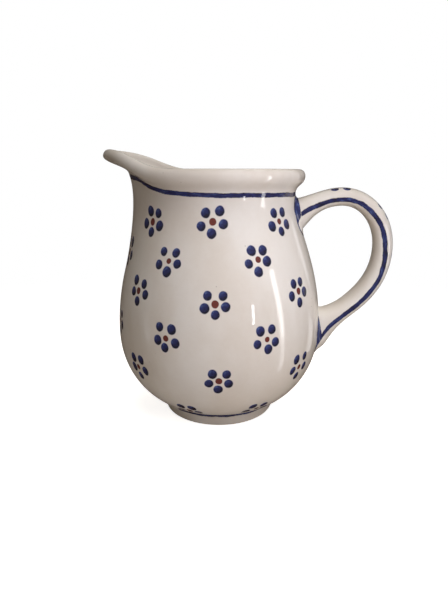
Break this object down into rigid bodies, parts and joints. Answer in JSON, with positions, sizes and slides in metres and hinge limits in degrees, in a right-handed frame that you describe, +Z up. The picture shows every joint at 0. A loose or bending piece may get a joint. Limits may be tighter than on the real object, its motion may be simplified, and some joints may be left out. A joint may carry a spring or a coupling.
{
  "type": "jug",
  "caption": "Round-bellied glazed stoneware jug on a turned foot ring, with a flared rolled rim, a pulled pouring spout and an arched strap handle.",
  "frame": {"origin": "centre of the foot ring, on the surface that the jug stands on, where the body's axis meets it", "axes": "+Z up along the body's axis, +X towards the handle, -X towards the spout, so XZ is the plane of symmetry"},
  "size_m": [0.1605, 0.1168, 0.1497],
  "materials": {
    "cream_glaze": "glossy clear glaze over warm cream stoneware, painted with cobalt dot flowers, rust-red centres and cobalt lines",
    "foot_stoneware": "thin glaze over cream stoneware, bare and matt where the ring stands",
    "cobalt_line": "slip seam under a brushed cobalt line and glossy clear glaze"
  },
  "bodies": {
    "root": {"body": "cream_glaze", "rim_and_spout": "cream_glaze", "foot_ring": "foot_stoneware", "handle": "cream_glaze", "upper_handle_seam": "cobalt_line", "lower_handle_seam": "cobalt_line"}
  },
  "joints": []
}
